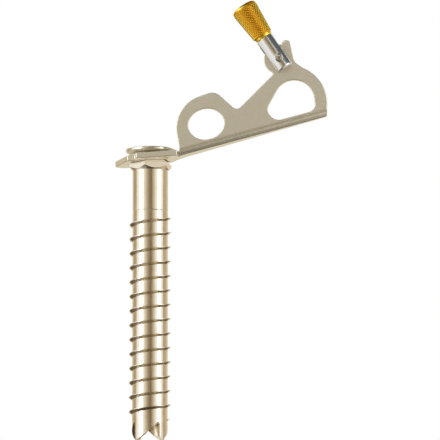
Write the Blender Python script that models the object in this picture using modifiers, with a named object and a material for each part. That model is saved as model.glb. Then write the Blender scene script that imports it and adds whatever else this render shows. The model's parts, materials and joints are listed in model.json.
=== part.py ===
"""Ice climbing screw with a stamped hanger and a folding crank knob.

Metres, +Z up. The origin lies on the tube's axis at the seat of the hanger, the top
of the hexagonal collar. The tube points down -Z into the ice, and the hanger's arm
runs along +X. The crank is drawn partly unfolded, leaning back over the arm.
"""
import math

import bmesh
import bpy
from mathutils import Matrix, Vector

# Clearances
SEAT_GAP = 0.0003          # between parts that rest on each other or are pressed together
SLOT_PLAY = 0.0003         # each side of the hanger inside the clevis
HANGER_PLAY = 0.0005       # radial play of the hanger on the hexagonal neck
KNOB_PLAY = 0.0003         # radial running clearance of the knob on its spindle

# Tube
TUBE_LENGTH = 0.130        # hanger seat to the tips of the teeth
TUBE_RADIUS = 0.0083
TUBE_WALL = 0.0019
TUBE_SIDES = 40
GROOVE_DEPTH_BELOW_SEAT = 0.0224
GROOVE_DEPTH = 0.0002

# Hexagonal collar and neck, and the turned spigot above them
COLLAR_CORNER_RADIUS = 0.0102
COLLAR_HEIGHT = 0.0014
HEX_TURN = math.radians(-14)   # the hexagon's corner, from -Y towards +X
NECK_CORNER_RADIUS = 0.0086
NECK_RISE = 0.0006         # neck above the top of the hanger's plate
SPIGOT_WALL = 0.0008

# Ice thread
THREAD_PITCH = 0.00674
THREAD_CREST_RADIUS = 0.0097
THREAD_CREST_WIDTH = 0.00045
THREAD_ROOT_WIDTH = 0.0016
THREAD_ROOT_SINK = 0.0005
THREAD_TOP_BELOW_SEAT = 0.0232
THREAD_END_ABOVE_TIPS = 0.0092
THREAD_FIRST_CREST_BELOW_SEAT = 0.0256   # where the crest passes +X
THREAD_STEPS = 30          # sections in each turn
THREAD_FADE_TURNS = 0.35
THREAD_LEAST_RISE = 0.02   # share of the rib's height left at its very ends

# Cutting teeth
TOOTH_COUNT = 4
TOOTH_TIP_AZIMUTH = math.radians(40.7)    # from -Y towards +X
TOOTH_LAND = math.radians(4)
TOOTH_NOSE = math.radians(4)   # slant of the cutting edge next to the tip
TOOTH_NOSE_HEIGHT = 0.0016
TOOTH_CORNER = 0.0001      # upright step at both sides of a tip
GULLET_HEIGHT = 0.0083     # tips up to the top of the hollow
GULLET_ROUND = 0.0010
GULLET_SAG = 0.35          # how far the sloping back hollows below a straight line
GULLET_STEPS = 7
TOOTH_BEVEL_HEIGHT = 0.0030    # bevel on the bore's side
TOOTH_EDGE = 0.0003        # wall left at the cutting edge

# Head ring that keeps the hanger on the neck
RING_RADIUS = 0.0115
RING_FLARE_HEIGHT = 0.0011
RING_RIM_HEIGHT = 0.0013
RING_FOOT_RADIUS = 0.0098
RING_EDGE = 0.0003

# Hanger plate and its bends
PLATE = 0.0026
FOLD_INNER_RADIUS = 0.0008
WEB_FRONT = 0.0150         # web's front face ahead of the tube's axis
ARM_BEND_X = 0.0115
ARM_BEND_RADIUS = 0.0120
ARM_SLOPE = math.radians(15.2)
HANGER_ROCK = math.radians(4.0)
FOLD_STEPS = 6

# Hanger outline, about the tube's axis
FLANGE_FRONT = 0.0155
FLANGE_RING_RADIUS = 0.0118    # round the neck on the arm's side
FLANGE_BACK = (-0.0125, 0.0139)
FLANGE_END = (-0.0172, 0.0090)
FLANGE_SIDE = (-0.0107, -0.0083)
FLANGE_STEP = (-0.0067, -0.0090)
STRIP_WIDTH_NEAR = 0.0130
STRIP_WIDTH_FAR = 0.0052
RELIEF_X = 0.0128
RELIEF_WIDTH = 0.0010
RELIEF_DEPTH = 0.0048

# Web outline, along the arm from its bend and up from the arm's underside
LOBE_1 = (0.0193, 0.0084)
LOBE_1_RADIUS = 0.0159
LOBE_1_TOP = (0.0230, 0.0193)
LOBE_1_TOP_RADIUS = 0.0053
LOBE_2 = (0.0574, 0.0101)
LOBE_2_RADIUS = 0.01815
NOTCH = (0.0333, 0.0131)
NOTCH_RADIUS = 0.0026
SHOULDER = (0.0545, 0.0254)
PIVOT = (0.0587, 0.0317)
TAB_RADIUS = 0.0070
EAR_TIP = (0.0637, 0.0373)
EAR_RADIUS = 0.0021
EAR_FOOT = (0.0653, 0.0283)
TIP_REACH = 0.0158         # end of the fold, beyond the middle of the second lobe
TIP_SLANT = 0.0006         # the arm's end leans back by this much

# Rounds and slants of the hanger's corners
RELIEF_SLANT = 0.0002
RELIEF_FLAT = 0.0001
RELIEF_MOUTH_ROUND = 0.0006
SHOULDER_ROUND = 0.0012
TAB_FOOT_ANGLE = 226       # degrees round the pivot
EAR_FOOT_ROUND = 0.0036
TIP_ROUND = 0.0006
ARM_END_ROUND = 0.0010
ARM_ROOT_ROUND = 0.0050
FLANGE_BACK_ROUND = 0.0040
FLANGE_STEP_ROUND = 0.0008

# Eyes in the web
EYE_1 = (0.0179, 0.0108)
EYE_1_WIDTH = 0.0170
EYE_1_HEIGHT = 0.0146
EYE_1_FLOOR = 0.0002       # flat web left between the fold and the eye
EYE_2_LEFT = (0.0523, 0.0087)
EYE_2_LEFT_RADIUS = 0.0050
EYE_2_TOP = (0.0606, 0.0112)
EYE_2_TOP_RADIUS = 0.00925
EYE_2_RIGHT = (0.0655, 0.0076)
EYE_2_RIGHT_RADIUS = 0.0039

# Crank stem, along its own axis from the pivot
CRANK_LEAN = math.radians(34)    # back from the tube's direction, as drawn
STEM_RADIUS = 0.0044
STEM_TOP = 0.0118
STEM_FOOT = 0.0056
STEM_FOOT_ROUND = 0.0012
STEM_EDGE = 0.0004
SLOT_TOP = 0.0092          # clears the ear when the stem stands along the tube
PIN_RADIUS = 0.0015
PIN_RECESS = 0.0002
SPINDLE_RADIUS = 0.0027
SPINDLE_LENGTH = 0.0100

# Detent in the stem
PLUNGER_RADIUS = 0.0013
PLUNGER_LENGTH = 0.0032
PLUNGER_NOSE = 0.0008
PLUNGER_CLEARANCE = 0.0003
SPRING_LENGTH = 0.0036
SPRING_TURNS = 4
SPRING_WIRE_RADIUS = 0.00021
SPRING_POINTS = 9          # points in each turn

# Knob
KNOB_LENGTH = 0.0170
KNOB_BASE_RADIUS = 0.0047
KNOB_TOP_RADIUS = 0.0063
KNOB_CROWN = 0.0012
KNOB_CHAMFER = 0.0005
WASHER_RADIUS = 0.0038
WASHER_THICKNESS = 0.0008
SCREW_HEAD_RADIUS = 0.0030
SCREW_HEAD_HEIGHT = 0.0018
SCREW_SHANK_RADIUS = 0.0010
SCREW_SHANK_LENGTH = 0.0050
SCREW_SOCKET_RADIUS = 0.0012
SCREW_SOCKET_DEPTH = 0.0010
KNOB_COUNTERBORE_RADIUS = WASHER_RADIUS + SEAT_GAP

# Where these meet
BORE_RADIUS = TUBE_RADIUS - TUBE_WALL
HANGER_LIFT = COLLAR_CORNER_RADIUS * math.tan(HANGER_ROCK) + SEAT_GAP
PLATE_TOP = HANGER_LIFT + PLATE / math.cos(HANGER_ROCK)
NECK_TOP = PLATE_TOP + NECK_RISE
RING_BOTTOM = max(NECK_TOP, PLATE_TOP + RING_FOOT_RADIUS * math.tan(HANGER_ROCK)) + SEAT_GAP
RING_TOP = RING_BOTTOM + RING_FLARE_HEIGHT + RING_RIM_HEIGHT
SPIGOT_RADIUS = BORE_RADIUS + SPIGOT_WALL
FOLD_MID_RADIUS = FOLD_INNER_RADIUS + PLATE / 2
FOLD_LENGTH = FOLD_MID_RADIUS * math.pi / 2
FOLD_LINE = WEB_FRONT - FOLD_INNER_RADIUS - PLATE
WEB_ROOT = FOLD_LENGTH - FOLD_INNER_RADIUS - PLATE    # flat length less folded height
SLOT_WIDTH = PLATE + 2 * SLOT_PLAY
PLUNGER_START = TAB_RADIUS + SEAT_GAP
DETENT_BORE_RADIUS = PLUNGER_RADIUS + PLUNGER_CLEARANCE
SPRING_RADIUS = DETENT_BORE_RADIUS - PLUNGER_CLEARANCE - SPRING_WIRE_RADIUS
SPRING_START = PLUNGER_START + PLUNGER_LENGTH + SEAT_GAP + SPRING_WIRE_RADIUS
SPRING_END = SPRING_START + SPRING_LENGTH
DETENT_BORE_END = SPRING_END + SPRING_WIRE_RADIUS + SEAT_GAP
KNOB_START = STEM_TOP + SEAT_GAP
KNOB_BORE_RADIUS = SPINDLE_RADIUS + KNOB_PLAY
SPINDLE_END = STEM_TOP + SPINDLE_LENGTH
WASHER_START = SPINDLE_END + SEAT_GAP
SCREW_HEAD_START = WASHER_START + WASHER_THICKNESS + SEAT_GAP
KNOB_LEDGE = SPINDLE_END - SEAT_GAP
SCREW_HOLE_RADIUS = SCREW_SHANK_RADIUS + SEAT_GAP
SCREW_HOLE_DEPTH = SCREW_SHANK_LENGTH + 2 * SEAT_GAP
OVERCUT = 0.0010           # how far a cutter runs past the face it opens

# Finishes: colour, roughness, metallic
STEEL_TUBE = ((0.72, 0.66, 0.56), 0.20, 1.0)
STEEL_BRIGHT = ((0.70, 0.70, 0.69), 0.18, 1.0)
STEEL_SATIN = ((0.56, 0.53, 0.46), 0.38, 1.0)
ALUMINIUM_GOLD = ((0.86, 0.55, 0.05), 0.32, 1.0)
STEEL_SPRING = ((0.45, 0.45, 0.46), 0.35, 1.0)


def clear_scene():
    for obj in list(bpy.data.objects):
        bpy.data.objects.remove(obj, do_unlink=True)


def new_collection(name):
    collection = bpy.data.collections.new(name)
    bpy.context.scene.collection.children.link(collection)
    return collection


clear_scene()
PARTS = new_collection("ice_climbing_screw")
CUTTERS = new_collection("cutters")


def give_finish(obj, finish):
    colour, roughness, metallic = finish
    material = bpy.data.materials.new(obj.name + "_finish")
    material.use_nodes = True
    shader = material.node_tree.nodes["Principled BSDF"]
    shader.inputs["Base Color"].default_value = (*colour, 1.0)
    shader.inputs["Roughness"].default_value = roughness
    shader.inputs["Metallic"].default_value = metallic
    obj.data.materials.clear()
    obj.data.materials.append(material)


def place(obj, collection, parent=None):
    collection.objects.link(obj)
    obj.parent = parent
    if collection is CUTTERS:
        obj.hide_render = True
        obj.display_type = "WIRE"
    return obj


def turned(name, profile, closed, sides, collection, parent=None):
    """Turn a profile of (radius, height) points, listed down its outer side, about Z."""
    mesh = bpy.data.meshes.new(name)
    count = len(profile)
    edges = [(i, i + 1) for i in range(count - 1)]
    if closed:
        edges.append((count - 1, 0))
    mesh.from_pydata([(radius, 0.0, height) for radius, height in profile], edges, [])
    obj = place(bpy.data.objects.new(name, mesh), collection, parent)
    screw = obj.modifiers.new("turn", "SCREW")
    screw.steps = sides
    screw.render_steps = sides
    screw.use_merge_vertices = True
    screw.merge_threshold = 0.00001
    return obj


def rod(name, radius, low, high, sides, collection, parent=None):
    profile = [(0.0, high), (radius, high), (radius, low), (0.0, low)]
    return turned(name, profile, False, sides, collection, parent)


def mesh_object(name, bm, collection, parent=None):
    bmesh.ops.recalc_face_normals(bm, faces=bm.faces)
    mesh = bpy.data.meshes.new(name)
    bm.to_mesh(mesh)
    bm.free()
    return place(bpy.data.objects.new(name, mesh), collection, parent)


def combine(target, tool, operation):
    boolean = target.modifiers.new(tool.name, "BOOLEAN")
    boolean.operation = operation
    boolean.solver = "EXACT"
    boolean.object = tool


def flat_plate(name, outlines, thickness, collection):
    """A plate between z 0 and its thickness, from closed outlines, meshed and welded."""
    curve = bpy.data.curves.new(name, "CURVE")
    curve.dimensions = "2D"
    curve.fill_mode = "BOTH"
    curve.extrude = thickness / 2
    for outline in outlines:
        spline = curve.splines.new("POLY")
        spline.points.add(len(outline) - 1)
        for point, (x, y) in zip(spline.points, outline):
            point.co = (x, y, 0.0, 1.0)
        spline.use_cyclic_u = True
    flat = bpy.data.objects.new(name + "_flat", curve)
    flat.location.z = thickness / 2
    bpy.context.scene.collection.objects.link(flat)
    bpy.context.view_layer.update()
    shown = flat.evaluated_get(bpy.context.evaluated_depsgraph_get())
    mesh = bpy.data.meshes.new_from_object(shown)
    mesh.transform(flat.matrix_world)
    bpy.data.objects.remove(flat, do_unlink=True)
    bm = bmesh.new()
    bm.from_mesh(mesh)
    bpy.data.meshes.remove(mesh)
    bmesh.ops.remove_doubles(bm, verts=bm.verts, dist=0.000002)
    return mesh_object(name, bm, collection)


def arc(centre, radius, start, end, steps):
    """Points from one angle to another in degrees, both ends included."""
    points = []
    for i in range(steps + 1):
        angle = math.radians(start + (end - start) * i / steps)
        points.append((centre[0] + radius * math.cos(angle), centre[1] + radius * math.sin(angle)))
    return points


def filleted(corner, before, after, radius, steps):
    """Points that round a corner between its two neighbours."""
    at = Vector(corner)
    towards_before = (Vector(before) - at).normalized()
    towards_after = (Vector(after) - at).normalized()
    half = towards_before.angle(towards_after) / 2
    reach = radius / math.tan(half)
    centre = at + (towards_before + towards_after).normalized() * radius / math.sin(half)
    start = at + towards_before * reach - centre
    end = at + towards_after * reach - centre
    sweep = start.angle_signed(end)
    return [tuple(centre + Matrix.Rotation(-sweep * i / steps, 2) @ start) for i in range(steps + 1)]


def hexagon(corner_radius):
    """Corners of the collar's hexagon, turned as it stands to the teeth."""
    first = math.degrees(HEX_TURN) - 90
    return arc((0.0, 0.0), corner_radius, first, first + 300, 5)


def hex_flats_cutter(name, corner_radius, low, high):
    """A round plate with a hexagonal hole, which leaves a hexagon of a turned bar."""
    outer = arc((0.0, 0.0), 1.6 * COLLAR_CORNER_RADIUS, 0, 350, 35)
    cutter = flat_plate(name, [outer, hexagon(corner_radius)], high - low, CUTTERS)
    cutter.location.z = low
    return cutter


def loft_rings(bm, rings):
    """Join closed rings of points in order and cap both ends."""
    rows = [[bm.verts.new(point) for point in ring] for ring in rings]
    count = len(rows[0])
    for lower, upper in zip(rows, rows[1:]):
        for i in range(count):
            j = (i + 1) % count
            bm.faces.new((lower[i], lower[j], upper[j], upper[i]))
    bm.faces.new(rows[0])
    bm.faces.new(rows[-1])


def thread():
    """A right-handed rib that rises out of the tube at both ends of its helix."""
    top_turns = (THREAD_FIRST_CREST_BELOW_SEAT - THREAD_TOP_BELOW_SEAT) / THREAD_PITCH
    end_below_seat = TUBE_LENGTH - THREAD_END_ABOVE_TIPS
    end_turns = (THREAD_FIRST_CREST_BELOW_SEAT - end_below_seat) / THREAD_PITCH
    count = round((top_turns - end_turns) * THREAD_STEPS)
    root = TUBE_RADIUS - THREAD_ROOT_SINK
    height = THREAD_CREST_RADIUS - root
    half_crest = THREAD_CREST_WIDTH / 2
    foot = half_crest - THREAD_ROOT_WIDTH
    section = ((0.0, half_crest), (height, half_crest), (height, -half_crest),
               (0.55 * height, 0.42 * foot - half_crest), (0.0, foot - half_crest))
    rings = []
    for i in range(count + 1):
        turns = end_turns + (top_turns - end_turns) * i / count
        from_end = min(turns - end_turns, top_turns - turns)
        rise = min(1.0, from_end / THREAD_FADE_TURNS)
        rise = THREAD_LEAST_RISE + (1 - THREAD_LEAST_RISE) * rise * (2 - rise)
        angle = 2 * math.pi * turns
        middle = turns * THREAD_PITCH - THREAD_FIRST_CREST_BELOW_SEAT
        ring = []
        for out, along in section:
            radius = root + out * rise
            ring.append((radius * math.cos(angle), radius * math.sin(angle), middle + along))
        rings.append(ring)
    bm = bmesh.new()
    loft_rings(bm, rings)
    return mesh_object("thread_rib", bm, CUTTERS)


def gullets():
    """The hollows between the teeth: a sloping back to one tooth, an upright front to the next."""
    spacing = 2 * math.pi / TOOTH_COUNT
    front = spacing - TOOTH_LAND - TOOTH_NOSE
    below = -2 * OVERCUT
    flank = front - GULLET_ROUND / TUBE_RADIUS
    outline = [(0.0, below), (0.0, TOOTH_CORNER)]
    for i in range(1, GULLET_STEPS + 1):
        share = i / GULLET_STEPS
        outline.append((flank * share, GULLET_HEIGHT * (share - GULLET_SAG * share * (1 - share))))
    outline += [(front - 0.3 * (front - flank), GULLET_HEIGHT - 0.05 * GULLET_ROUND),
                (front, GULLET_HEIGHT - 0.9 * GULLET_ROUND), (front, TOOTH_NOSE_HEIGHT),
                (spacing - TOOTH_LAND, TOOTH_CORNER), (spacing - TOOTH_LAND, below)]
    bm = bmesh.new()
    for tooth in range(TOOTH_COUNT):
        start = TOOTH_TIP_AZIMUTH + TOOTH_LAND / 2 + tooth * spacing - math.pi / 2
        rings = []
        for radius in (BORE_RADIUS - 2 * OVERCUT, THREAD_CREST_RADIUS + 2 * OVERCUT):
            rings.append([(radius * math.cos(start + along), radius * math.sin(start + along),
                           up - TUBE_LENGTH) for along, up in outline])
        loft_rings(bm, rings)
    bmesh.ops.recalc_face_normals(bm, faces=bm.faces)
    bmesh.ops.triangulate(bm, faces=bm.faces)
    return mesh_object("gullets", bm, CUTTERS)


def screw_tube():
    collar_end = -COLLAR_HEIGHT - (COLLAR_CORNER_RADIUS - TUBE_RADIUS)
    groove = -GROOVE_DEPTH_BELOW_SEAT
    profile = [(SPIGOT_RADIUS, RING_TOP - SEAT_GAP), (SPIGOT_RADIUS, NECK_TOP),
               (NECK_CORNER_RADIUS, NECK_TOP), (NECK_CORNER_RADIUS, 0.0),
               (COLLAR_CORNER_RADIUS, 0.0), (COLLAR_CORNER_RADIUS, -COLLAR_HEIGHT),
               (TUBE_RADIUS, collar_end), (TUBE_RADIUS, groove + GROOVE_DEPTH),
               (TUBE_RADIUS - GROOVE_DEPTH, groove), (TUBE_RADIUS, groove - GROOVE_DEPTH),
               (TUBE_RADIUS, -TUBE_LENGTH), (TUBE_RADIUS - TOOTH_EDGE, -TUBE_LENGTH),
               (BORE_RADIUS, TOOTH_BEVEL_HEIGHT - TUBE_LENGTH), (BORE_RADIUS, RING_TOP - SEAT_GAP)]
    tube = turned("screw_tube", profile, True, TUBE_SIDES, PARTS)
    combine(tube, hex_flats_cutter("collar_flats", COLLAR_CORNER_RADIUS, collar_end, 0.0), "DIFFERENCE")
    combine(tube, hex_flats_cutter("neck_flats", NECK_CORNER_RADIUS, 0.0, NECK_TOP), "DIFFERENCE")
    combine(tube, gullets(), "DIFFERENCE")
    combine(tube, thread(), "UNION")
    give_finish(tube, STEEL_TUBE)


def head_ring():
    hole = SPIGOT_RADIUS + SEAT_GAP
    rim = RING_BOTTOM + RING_FLARE_HEIGHT
    profile = [(hole, RING_TOP), (RING_RADIUS - RING_EDGE, RING_TOP), (RING_RADIUS, RING_TOP - RING_EDGE),
               (RING_RADIUS, rim), (RING_FOOT_RADIUS, RING_BOTTOM), (hole, RING_BOTTOM)]
    ring = turned("head_ring", profile, True, TUBE_SIDES, PARTS)
    give_finish(ring, STEEL_BRIGHT)


def web_point(along, up):
    """A point of the web on the flat blank, where the web lies ahead of the fold."""
    return (ARM_BEND_X + along, -FOLD_LINE - up - WEB_ROOT)


def web_arc(centre, radius, start, end, steps):
    """An arc of the web as it stands, laid on the flat blank."""
    return [web_point(along, up) for along, up in arc(centre, radius, start, end, steps)]


def hanger_outline():
    """Outline of the flat blank, round the web first and back round the flange."""
    relief_end = RELIEF_X + RELIEF_WIDTH
    relief_bottom = -FLANGE_FRONT + RELIEF_DEPTH
    web_left = web_point(relief_end + RELIEF_SLANT - ARM_BEND_X, 0.0)
    relief_radius = RELIEF_WIDTH / 2 - RELIEF_FLAT
    lobe_1 = web_arc(LOBE_1, LOBE_1_RADIUS, 180, 94, 12) + web_arc(LOBE_1_TOP, LOBE_1_TOP_RADIUS, 94, 33, 6)
    notch = web_point(*NOTCH)
    shoulder = web_point(*SHOULDER)
    tab = web_arc(PIVOT, TAB_RADIUS, TAB_FOOT_ANGLE, 84, 12)
    ear = web_arc(EAR_TIP, EAR_RADIUS, 165, 0, 8)
    ear_foot = web_point(*EAR_FOOT)
    lobe_2_start = web_arc(LOBE_2, LOBE_2_RADIUS, 52, -14, 12)
    tip = web_point(LOBE_2[0] + TIP_REACH, 0.0)
    strip_near = (RELIEF_X + FLANGE_STEP_ROUND, STRIP_WIDTH_NEAR - WEB_FRONT)
    strip_far = (tip[0] - TIP_SLANT, STRIP_WIDTH_FAR - WEB_FRONT)
    flange_step = (FLANGE_STEP[0], -FLANGE_FRONT)
    relief_mouth = (RELIEF_X, -FLANGE_FRONT)
    relief_left = (RELIEF_X + RELIEF_SLANT, relief_bottom)
    relief_right = (relief_end, relief_bottom)
    ring = arc((0.0, 0.0), FLANGE_RING_RADIUS, 20, 80, 8)

    points = filleted(relief_mouth, flange_step, relief_left, RELIEF_MOUTH_ROUND, 3)
    points += filleted(relief_left, relief_mouth, relief_right, relief_radius, 4)
    points += filleted(relief_right, relief_left, web_left, relief_radius, 4)
    points += lobe_1
    points += filleted(notch, lobe_1[-1], shoulder, NOTCH_RADIUS, 6)
    points += filleted(shoulder, notch, tab[0], SHOULDER_ROUND, 4)
    points += tab + ear
    points += filleted(ear_foot, ear[-1], lobe_2_start[0], EAR_FOOT_ROUND, 4)
    points += lobe_2_start
    points += filleted(tip, lobe_2_start[-1], strip_far, TIP_ROUND, 2)
    points += filleted(strip_far, tip, strip_near, ARM_END_ROUND, 3)
    points += filleted(strip_near, strip_far, ring[0], ARM_ROOT_ROUND, 4)
    points += ring
    points += filleted(FLANGE_BACK, ring[-1], FLANGE_END, FLANGE_BACK_ROUND, 6)
    points += filleted(FLANGE_END, FLANGE_BACK, FLANGE_SIDE, FLANGE_BACK_ROUND, 6)
    points += filleted(FLANGE_SIDE, FLANGE_END, FLANGE_STEP, FLANGE_STEP_ROUND, 3)
    points += filleted(FLANGE_STEP, FLANGE_SIDE, flange_step, FLANGE_STEP_ROUND, 3)
    points += filleted(flange_step, FLANGE_STEP, relief_mouth, FLANGE_STEP_ROUND, 3)
    return points


def eye_1():
    """The clip eye by the tube, an ellipse flattened on the side of the fold."""
    floor = FOLD_INNER_RADIUS + PLATE + EYE_1_FLOOR
    points = []
    for i in range(28):
        angle = 2 * math.pi * i / 28
        along = EYE_1[0] + EYE_1_WIDTH / 2 * math.cos(angle)
        up = max(EYE_1[1] + EYE_1_HEIGHT / 2 * math.sin(angle), floor)
        points.append(web_point(along, up))
    return points


def eye_2():
    """The far eye, a rounded triangle whose long side follows the fold."""
    points = web_arc(EYE_2_TOP, EYE_2_TOP_RADIUS, -6, 136, 12)
    points += web_arc(EYE_2_LEFT, EYE_2_LEFT_RADIUS, 138, 270, 8)
    points += web_arc(EYE_2_RIGHT, EYE_2_RIGHT_RADIUS, 270, 350, 5)
    return points


def pivot_hole():
    return web_arc(PIVOT, PIN_RADIUS + SEAT_GAP, 0, 345, 23)


def bent(distance, height, radius, angle):
    """Wrap a point of a flat sheet round a bend, from its start line onward."""
    if distance <= 0.0:
        return distance, height
    turned_by = min(distance / radius, angle)
    beyond = distance - turned_by * radius
    inward = radius - height
    along = inward * math.sin(turned_by) + beyond * math.cos(turned_by)
    up = radius - inward * math.cos(turned_by) + beyond * math.sin(turned_by)
    return along, up


def folded(point):
    """Carry a point of the flat blank to its place on the bent hanger."""
    x, y, z = point
    height = z - PLATE / 2
    if x > RELIEF_X + RELIEF_WIDTH / 2:
        ahead, height = bent(-y - FOLD_LINE, height, FOLD_MID_RADIUS, math.pi / 2)
        y = -FOLD_LINE - ahead
    along, height = bent(x - ARM_BEND_X, height, ARM_BEND_RADIUS, ARM_SLOPE - HANGER_ROCK)
    x = ARM_BEND_X + along
    z = height + PLATE / 2
    rocked = Matrix.Rotation(-HANGER_ROCK, 3, "Y") @ Vector((x, y, z))
    return rocked + Vector((0.0, 0.0, HANGER_LIFT))


def in_web(face):
    """Whether a face of the flat blank lies past the fold, in the part that stands up."""
    middle = face.calc_center_median()
    return middle.x > RELIEF_X + RELIEF_WIDTH / 2 and middle.y < -FOLD_LINE - FOLD_LENGTH


def hanger(name, web_side):
    """One side of the bent plate, which is parted where the fold ends and the web begins."""
    neck_hole = hexagon(NECK_CORNER_RADIUS + HANGER_PLAY)
    outlines = [hanger_outline(), neck_hole, eye_1(), eye_2(), pivot_hole()]
    plate = flat_plate(name, outlines, PLATE, PARTS)
    bm = bmesh.new()
    bm.from_mesh(plate.data)
    for i in range(FOLD_STEPS + 1):
        line = -FOLD_LINE - FOLD_LENGTH * i / FOLD_STEPS
        web = [item for kind in (bm.verts, bm.edges, bm.faces) for item in kind]
        bmesh.ops.bisect_plane(bm, geom=web, plane_co=(0.0, line, 0.0), plane_no=(0.0, 1.0, 0.0))
    other_side = [face for face in bm.faces if in_web(face) != web_side]
    bmesh.ops.delete(bm, geom=other_side, context="FACES")
    bmesh.ops.holes_fill(bm, edges=[edge for edge in bm.edges if edge.is_boundary], sides=0)
    bmesh.ops.recalc_face_normals(bm, faces=bm.faces)
    arm_bend_length = ARM_BEND_RADIUS * (ARM_SLOPE - HANGER_ROCK)
    for i in range(3):
        line = ARM_BEND_X + arm_bend_length * i / 2
        everything = [item for kind in (bm.verts, bm.edges, bm.faces) for item in kind]
        bmesh.ops.bisect_plane(bm, geom=everything, plane_co=(line, 0.0, 0.0), plane_no=(1.0, 0.0, 0.0))
    bmesh.ops.triangulate(bm, faces=bm.faces)
    for vert in bm.verts:
        vert.co = folded(vert.co)
    bm.to_mesh(plate.data)
    bm.free()
    give_finish(plate, STEEL_SATIN)


def crank_frame():
    """The crank's hinge in the web's middle plane, with +Z along the stem."""
    x, y = web_point(*PIVOT)
    frame = bpy.data.objects.new("crank_frame", None)
    frame.location = folded((x, y, PLATE / 2))
    frame.rotation_euler = (0.0, -CRANK_LEAN, 0.0)
    PARTS.objects.link(frame)
    return frame


def crank_stem(frame):
    """A turned stem and spindle with a clevis slot, a pin hole and the detent's bore."""
    shoulder = STEM_RADIUS - STEM_EDGE
    foot = [(STEM_RADIUS - STEM_FOOT_ROUND + x, y - STEM_FOOT + STEM_FOOT_ROUND)
            for x, y in arc((0.0, 0.0), STEM_FOOT_ROUND, 0, -90, 4)]
    profile = [(0.0, SPINDLE_END), (SPINDLE_RADIUS, SPINDLE_END), (SPINDLE_RADIUS, STEM_TOP),
               (shoulder, STEM_TOP), (STEM_RADIUS, STEM_TOP - STEM_EDGE)]
    profile += foot + [(0.0, -STEM_FOOT)]
    stem = turned("crank_stem", profile, False, 40, PARTS, frame)

    bm = bmesh.new()
    slot_low = -STEM_FOOT - OVERCUT
    size = Matrix.Diagonal((4 * STEM_RADIUS, SLOT_WIDTH, SLOT_TOP - slot_low, 1.0))
    middle = Matrix.Translation((0.0, 0.0, (SLOT_TOP + slot_low) / 2))
    bmesh.ops.create_cube(bm, size=1.0, matrix=middle @ size)
    slot = mesh_object("clevis_slot", bm, CUTTERS, frame)

    bm = bmesh.new()
    across = Matrix.Rotation(math.pi / 2, 4, "X")
    hole_radius = PIN_RADIUS + SEAT_GAP
    bmesh.ops.create_cone(bm, cap_ends=True, segments=24, radius1=hole_radius,
                          radius2=hole_radius, depth=4 * STEM_RADIUS, matrix=across)
    pin_hole = mesh_object("pin_hole", bm, CUTTERS, frame)

    bore = rod("detent_bore", DETENT_BORE_RADIUS, SLOT_TOP - OVERCUT, DETENT_BORE_END, 20, CUTTERS, frame)
    hole_low = SPINDLE_END - SCREW_HOLE_DEPTH
    screw_hole = rod("screw_hole", SCREW_HOLE_RADIUS, hole_low, SPINDLE_END + OVERCUT, 16, CUTTERS, frame)
    for tool in (slot, pin_hole, bore, screw_hole):
        combine(stem, tool, "DIFFERENCE")
    give_finish(stem, STEEL_BRIGHT)


def pivot_pin(frame):
    half = math.sqrt(STEM_RADIUS ** 2 - PIN_RADIUS ** 2) - PIN_RECESS
    pin = rod("pivot_pin", PIN_RADIUS, -half, half, 24, PARTS, frame)
    pin.rotation_euler = (math.pi / 2, 0.0, 0.0)
    give_finish(pin, STEEL_BRIGHT)


def detent_plunger(frame):
    """A pin with a domed nose that bears on the rim of the hanger's tab."""
    top = PLUNGER_START + PLUNGER_LENGTH
    nose = [(PLUNGER_RADIUS * math.cos(math.radians(a)),
             PLUNGER_START + PLUNGER_NOSE * (1 - math.sin(math.radians(a)))) for a in (0, 30, 60)]
    profile = [(0.0, top), (PLUNGER_RADIUS, top)] + nose + [(0.0, PLUNGER_START)]
    give_finish(turned("detent_plunger", profile, False, 20, PARTS, frame), STEEL_BRIGHT)


def detent_spring(frame):
    """A coil of unbroken wire behind the plunger."""
    pitch = SPRING_LENGTH / SPRING_TURNS
    count = SPRING_TURNS * SPRING_POINTS
    curve = bpy.data.curves.new("detent_spring", "CURVE")
    curve.dimensions = "3D"
    curve.bevel_depth = SPRING_WIRE_RADIUS
    curve.bevel_resolution = 1
    curve.use_fill_caps = True
    spline = curve.splines.new("POLY")
    spline.points.add(count)
    points = []
    for i in range(count + 1):
        angle = 2 * math.pi * i / SPRING_POINTS
        height = SPRING_START + SPRING_LENGTH * i / count
        points.append(Vector((SPRING_RADIUS * math.cos(angle), SPRING_RADIUS * math.sin(angle), height)))
        spline.points[i].co = (*points[-1], 1.0)
    apart = min((points[i] - points[j]).length for i in range(count + 1)
                for j in range(i + SPRING_POINTS // 2, count + 1))
    least_gap = min(apart, pitch) - 2 * SPRING_WIRE_RADIUS
    print("detent_spring least gap between turns: %.2f mm" % (1000 * least_gap))
    spring = place(bpy.data.objects.new("detent_spring", curve), PARTS, frame)
    give_finish(spring, STEEL_SPRING)


def knob(frame):
    """A tapered knob with a crowned top, bored for the spindle and the washer."""
    top = KNOB_START + KNOB_LENGTH
    crown = [(KNOB_COUNTERBORE_RADIUS + (KNOB_TOP_RADIUS - KNOB_COUNTERBORE_RADIUS) * math.sin(math.radians(a)),
              top - KNOB_CHAMFER + (KNOB_CROWN + KNOB_CHAMFER) * math.cos(math.radians(a)))
             for a in (0, 25, 50, 75, 90)]
    profile = crown + [(KNOB_BASE_RADIUS, KNOB_START + KNOB_CHAMFER),
                       (KNOB_BASE_RADIUS - KNOB_CHAMFER, KNOB_START),
                       (KNOB_BORE_RADIUS, KNOB_START), (KNOB_BORE_RADIUS, KNOB_LEDGE),
                       (KNOB_COUNTERBORE_RADIUS, KNOB_LEDGE)]
    give_finish(turned("knob", profile, True, 48, PARTS, frame), ALUMINIUM_GOLD)


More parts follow.
